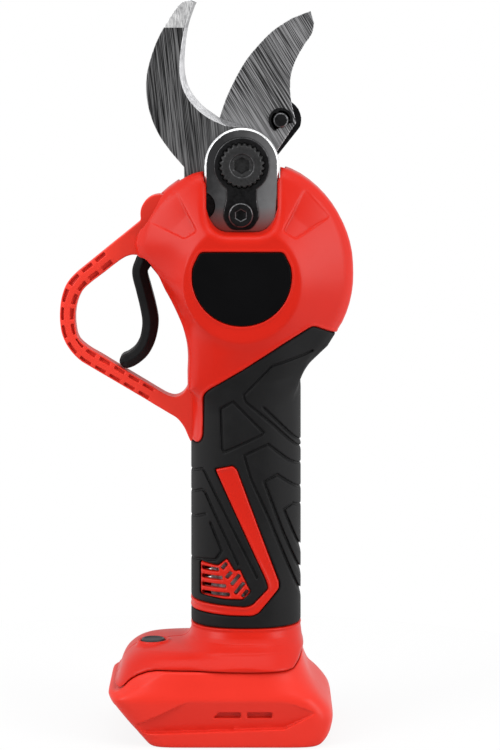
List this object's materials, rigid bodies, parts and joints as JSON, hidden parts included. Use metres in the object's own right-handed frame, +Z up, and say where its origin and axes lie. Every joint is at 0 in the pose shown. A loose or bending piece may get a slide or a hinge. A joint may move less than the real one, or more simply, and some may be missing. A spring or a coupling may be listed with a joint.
{
  "type": "battery electric pruner",
  "caption": "Hand-held cordless pruner: a motor in the handle swings a curved blade past a hooked fixed blade; trigger in a finger loop, open battery seat in the foot.",
  "frame": {"origin": "middle of the bounding box, on the plane that the foot stands on", "axes": "+Z up the handle to the blades, -Y towards the side with the badge, +X away from the trigger"},
  "size_m": [0.1252, 0.076, 0.3145],
  "materials": {
    "red_shell": "satin moulded plastic",
    "grip_rubber": "matt soft-touch overmould",
    "blade_steel": "dark brushed steel with bright ground edges",
    "bridge_steel": "bright satin",
    "black_steel": "blackened, worn bright on its edges",
    "cast_aluminium": "as cast",
    "gear_steel": "machined",
    "badge_gloss": "bare gloss black plate",
    "black_plastic": "fine matt moulded",
    "circuit_board": "lacquered board",
    "copper": "bare copper alloy"
  },
  "bodies": {
    "body": {"battery_seat": "red_shell", "bridge_screw": "black_steel", "contact_data": "copper", "contact_minus": "copper", "contact_plus": "copper", "controller_board": "circuit_board", "controller_tray": "cast_aluminium", "fixed_blade": "blade_steel", "front_bridge": "bridge_steel", "front_housing": "red_shell", "grip_front": "grip_rubber", "grip_rear": "grip_rubber", "guard_screw": "black_steel", "head_badge": "badge_gloss", "head_frame": "cast_aluminium", "housing_screw_1": "black_steel", "housing_screw_2": "black_steel", "housing_screw_3": "black_steel", "housing_screw_4": "black_steel", "housing_screw_5": "black_steel", "lock_plate": "black_steel", "lock_screw": "black_steel", "motor_can": "cast_aluminium", "motor_end_cap": "black_plastic", "motor_stator": "copper", "pinion_bearing": "gear_steel", "pivot_bolt": "black_steel", "pivot_bush": "gear_steel", "pivot_nut": "gear_steel", "rear_housing": "red_shell", "ring_gear": "gear_steel", "sensor_board": "circuit_board", "switch_block": "black_plastic", "terminal_block": "black_plastic", "trigger_guard": "red_shell", "trigger_pin": "gear_steel", "trigger_spring": "gear_steel"},
    "blade": {"moving_blade": "blade_steel", "sector_gear": "black_steel", "drive_pin": "black_steel", "e_clip": "black_steel"},
    "carrier": {"planet_carrier": "gear_steel", "bevel_pinion": "gear_steel"},
    "rotor": {"motor_rotor": "gear_steel"},
    "planet_1": {"planet_gear_1": "gear_steel"},
    "planet_2": {"planet_gear_2": "gear_steel"},
    "planet_3": {"planet_gear_3": "gear_steel"},
    "trigger": {"trigger": "black_plastic", "trigger_magnet": "gear_steel"},
    "button": {"power_button": "black_plastic"}
  },
  "joints": [
    {"name": "blade_swing", "type": "hinge", "parent": "body", "child": "blade", "pos_m": [0.0152, 0, 0.2453], "axis": [0, -1, 0], "range_deg": [0, 44]},
    {"name": "carrier_spin", "type": "hinge", "parent": "body", "child": "carrier", "pos_m": [0.0152, 0, 0.2], "axis": [0, 0, -1], "range_deg": [-2, 180]},
    {"name": "rotor_spin", "type": "hinge", "parent": "body", "child": "rotor", "pos_m": [0.0152, 0, 0.15], "axis": [0, 0, -1], "range_deg": [-8, 838]},
    {"name": "planet_1_spin", "type": "hinge", "parent": "carrier", "child": "planet_1", "pos_m": [0.0152, 0.00798, 0.1892], "axis": [0, 0, -1], "range_deg": [-494, 5]},
    {"name": "planet_2_spin", "type": "hinge", "parent": "carrier", "child": "planet_2", "pos_m": [0.00829, -0.00399, 0.1892], "axis": [0, 0, -1], "range_deg": [-494, 5]},
    {"name": "planet_3_spin", "type": "hinge", "parent": "carrier", "child": "planet_3", "pos_m": [0.02211, -0.00399, 0.1892], "axis": [0, 0, -1], "range_deg": [-494, 5]},
    {"name": "trigger_pull", "type": "hinge", "parent": "body", "child": "trigger", "pos_m": [-0.022, 0, 0.209], "axis": [0, -1, 0], "range_deg": [0, 14], "stiffness_Nm_per_rad": 0.15, "springref_deg": -20.05, "deforming": ["trigger_spring"]},
    {"name": "button_press", "type": "slide", "parent": "body", "child": "button", "axis": [0, 0, -1], "range_m": [0, 0.0012], "stiffness_N_per_m": 500, "springref_m": -0.0008}
  ],
  "couplings": [
    {"joint": "carrier_spin", "follows": "blade_swing", "ratio": 4},
    {"joint": "rotor_spin", "follows": "blade_swing", "ratio": 18.667},
    {"joint": "planet_1_spin", "follows": "blade_swing", "ratio": -11},
    {"joint": "planet_2_spin", "follows": "blade_swing", "ratio": -11},
    {"joint": "planet_3_spin", "follows": "blade_swing", "ratio": -11}
  ]
}
